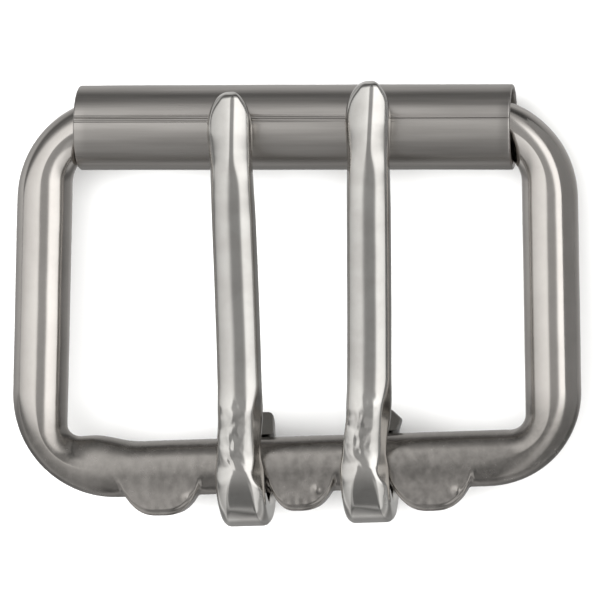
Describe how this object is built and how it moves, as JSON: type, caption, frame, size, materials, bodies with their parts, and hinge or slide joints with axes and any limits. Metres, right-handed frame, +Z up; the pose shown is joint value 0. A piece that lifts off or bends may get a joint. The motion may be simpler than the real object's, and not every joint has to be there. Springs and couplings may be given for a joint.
{
  "type": "double prong buckle",
  "caption": "Belt buckle of bent round wire with a loose roller on the top bar and two forged prongs curled round the heel bar.",
  "frame": {"origin": "on the surface that the buckle lies on, under the middle of its bounding box", "axes": "+X along the roller, +Y from the heel bar to the roller, +Z up to the front side with the prongs"},
  "size_m": [0.0566, 0.044, 0.0118],
  "materials": {
    "frame_steel": "tumble-polished stainless steel, matte where the lobes are squashed",
    "roller_steel": "satin drawn tube with fine streaks along it",
    "prong_steel": "tumble-polished stainless steel with forging marks"
  },
  "bodies": {
    "frame": {"frame": "frame_steel"},
    "roller": {"roller": "roller_steel"},
    "prong_left": {"prong_left": "prong_steel"},
    "prong_right": {"prong_right": "prong_steel"}
  },
  "joints": [
    {"name": "prong_left_swing", "type": "hinge", "parent": "frame", "child": "prong_left", "pos_m": [0.00001, -0.0161, 0.00566], "axis": [0.9993, 0.0384, -0.0017], "range_deg": [0, 150]},
    {"name": "prong_right_swing", "type": "hinge", "parent": "frame", "child": "prong_right", "pos_m": [0.00001, -0.0161, 0.00566], "axis": [0.9993, 0.0384, -0.0017], "range_deg": [0, 150]},
    {"name": "roller_spin", "type": "hinge", "parent": "frame", "child": "roller", "pos_m": [0, 0.01747, 0.0042], "axis": [1, 0, 0], "continuous": true}
  ]
}
